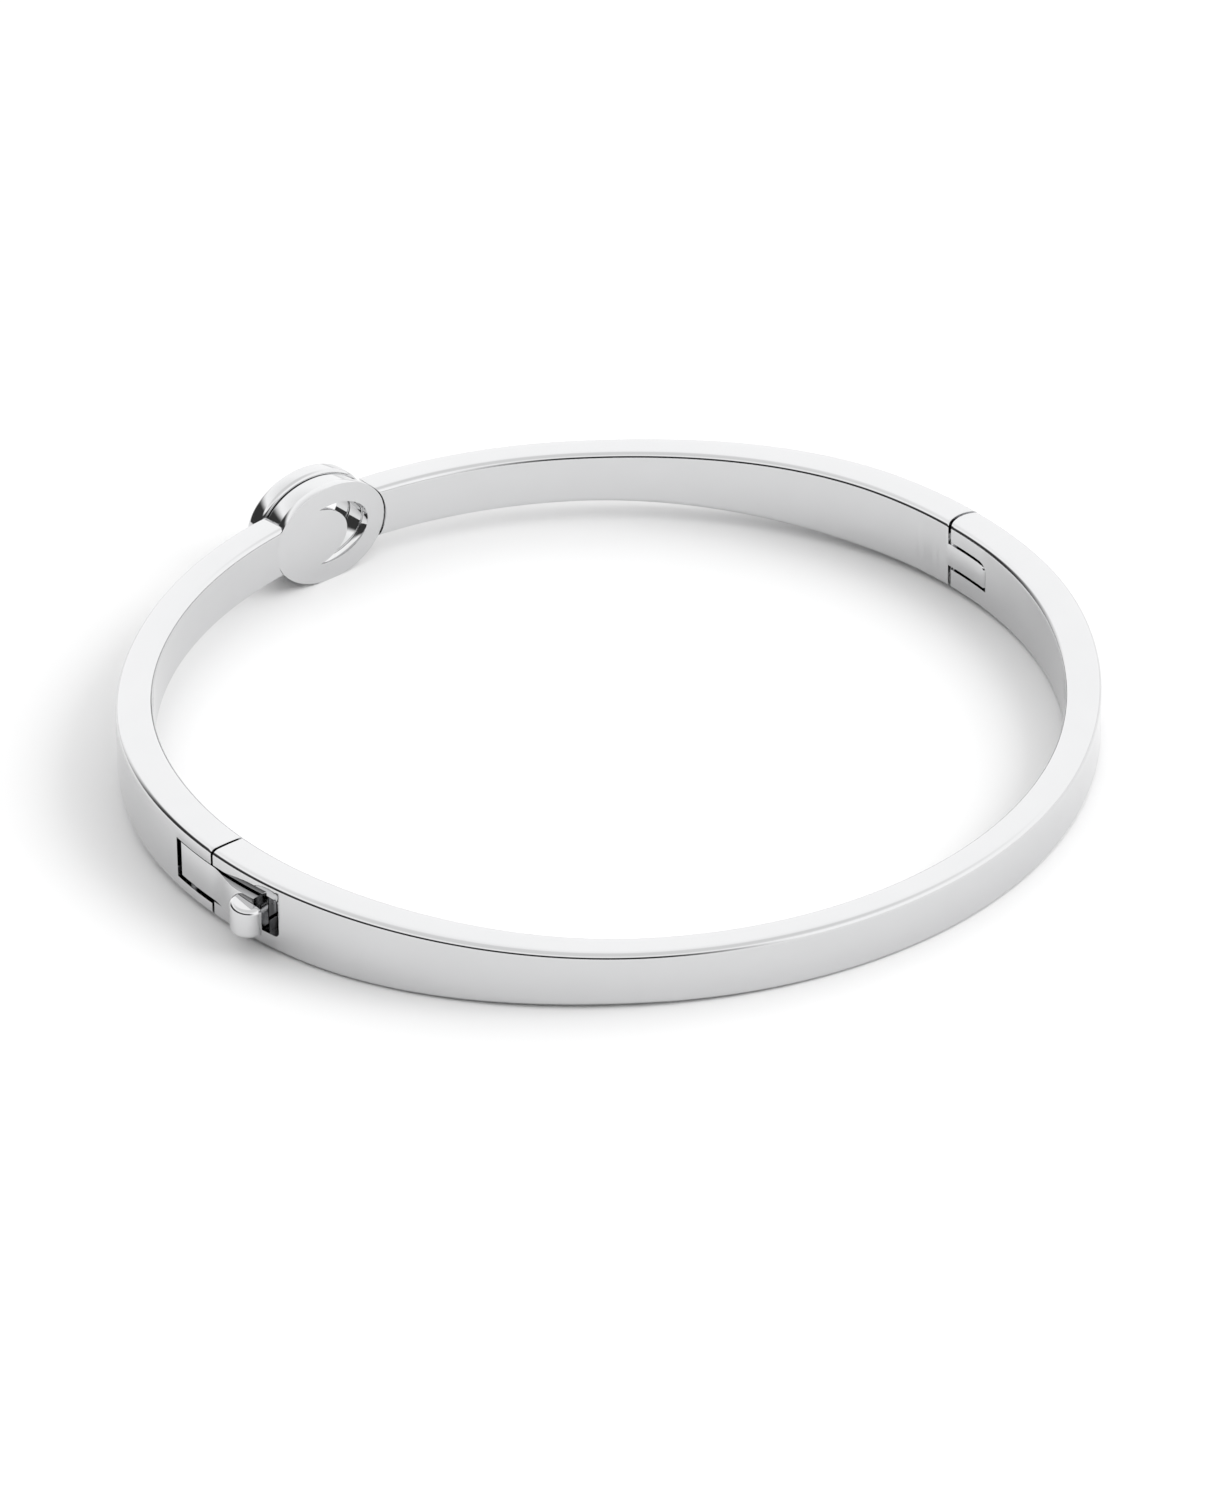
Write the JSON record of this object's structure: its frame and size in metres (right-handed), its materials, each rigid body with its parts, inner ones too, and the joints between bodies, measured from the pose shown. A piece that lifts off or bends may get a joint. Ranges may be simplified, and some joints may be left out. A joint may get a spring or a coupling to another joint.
{
  "type": "bangle bracelet",
  "caption": "Hinged round bangle bracelet: two polished metal half bands with a pin hinge, a thumb latch and an oval ring station, tapering in height between the joints.",
  "frame": {"origin": "middle of the footprint at the station's lowest point, the bangle lying on its edge plane", "axes": "+Z along the wrist, +Y towards the ring station, +X towards the hinge"},
  "size_m": [0.064, 0.0624, 0.0069],
  "materials": {
    "polished_metal": "mirror polished",
    "spring_metal": "satin"
  },
  "bodies": {
    "back_half": {"back_band_clasp_side": "polished_metal", "back_band_hinge_side": "polished_metal", "station_rim": "polished_metal", "station_core": "polished_metal", "station_back_plate": "polished_metal", "latch_pivot_pin": "spring_metal", "latch_spring": "spring_metal"},
    "front_half": {"front_band": "polished_metal", "hinge_pin": "spring_metal", "catch_plate": "spring_metal"},
    "latch": {"latch_lever": "polished_metal", "latch_nub": "polished_metal"}
  },
  "joints": [
    {"name": "hinge", "type": "hinge", "parent": "back_half", "child": "front_half", "pos_m": [0.03069, -0.00199, 0.00345], "axis": [0, 0, 1], "range_deg": [0, 75]},
    {"name": "latch_press", "type": "hinge", "parent": "back_half", "child": "latch", "pos_m": [-0.02963, 0.0025, 0.00345], "axis": [0, 0, 1], "range_deg": [0, 3.5], "stiffness_Nm_per_rad": 0.05, "springref_deg": -3.44}
  ]
}
